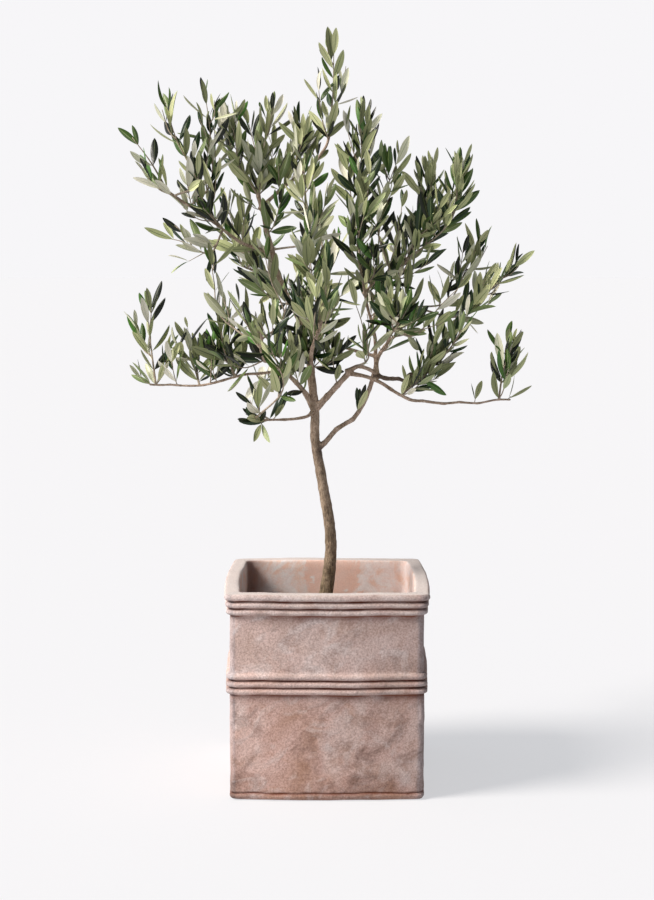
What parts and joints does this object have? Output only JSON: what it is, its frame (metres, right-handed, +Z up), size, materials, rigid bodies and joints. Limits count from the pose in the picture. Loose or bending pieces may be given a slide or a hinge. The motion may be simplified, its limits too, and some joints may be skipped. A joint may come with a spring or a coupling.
{
  "type": "potted olive tree",
  "caption": "Young olive tree with a slender leaning trunk and an open, airy crown of narrow grey-green leaves, in a square terracotta pot with hand-rolled bands.",
  "frame": {"origin": "centre of the pot's flat underside, where the pot stands on the floor", "axes": "+Z up, +Y to the back, +X to the right as the pot's front is faced; the front faces -Y"},
  "size_m": [0.7626, 0.572, 1.388],
  "materials": {
    "terracotta": "matte",
    "potting_soil": "matte",
    "bark": "matte",
    "leaves": "satin"
  },
  "bodies": {
    "root": {"back_bough": "bark", "back_centre_foliage": "leaves", "back_left_bough": "bark", "back_left_foliage": "leaves", "back_mid_right_foliage": "leaves", "back_right_bough": "bark", "back_right_foliage": "leaves", "bridge_bough": "bark", "centre_front_foliage": "leaves", "centre_left_front_foliage": "leaves", "centre_left_high_foliage": "leaves", "centre_low_foliage": "leaves", "centre_right_stem": "bark", "drooping_bough": "bark", "drooping_foliage": "leaves", "far_left_foliage": "leaves", "far_right_foliage": "leaves", "front_bough": "bark", "front_centre_foliage": "leaves", "front_left_bough": "bark", "front_left_foliage": "leaves", "front_right_bough": "bark", "front_right_foliage": "leaves", "high_centre_left_foliage": "leaves", "high_centre_right_foliage": "leaves", "high_left_back_foliage": "leaves", "high_left_foliage": "leaves", "high_right_foliage": "leaves", "inner_left_back_foliage": "leaves", "inner_right_bough": "bark", "inner_right_foliage": "leaves", "knobbly_bough": "bark", "leader_bough": "bark", "left_bough": "bark", "left_peak_foliage": "leaves", "left_wisp_foliage": "leaves", "long_left_bough": "bark", "long_right_bough": "bark", "low_left_foliage": "leaves", "low_left_front_foliage": "leaves", "low_right_bough": "bark", "low_right_foliage": "leaves", "mid_left_front_foliage": "leaves", "mid_right_bough": "bark", "mid_right_foliage": "leaves", "outer_left_foliage": "leaves", "outer_left_peak_foliage": "leaves", "outer_left_tip_foliage": "leaves", "outer_right_foliage": "leaves", "pot": "terracotta", "right_bough": "bark", "shoulder_back_foliage": "leaves", "shoulder_front_foliage": "leaves", "soil": "potting_soil", "spire_foliage": "leaves", "top_bough": "bark", "trunk": "bark", "upper_left_bough": "bark", "upper_left_foliage": "leaves", "upper_right_foliage": "leaves"}
  },
  "joints": []
}
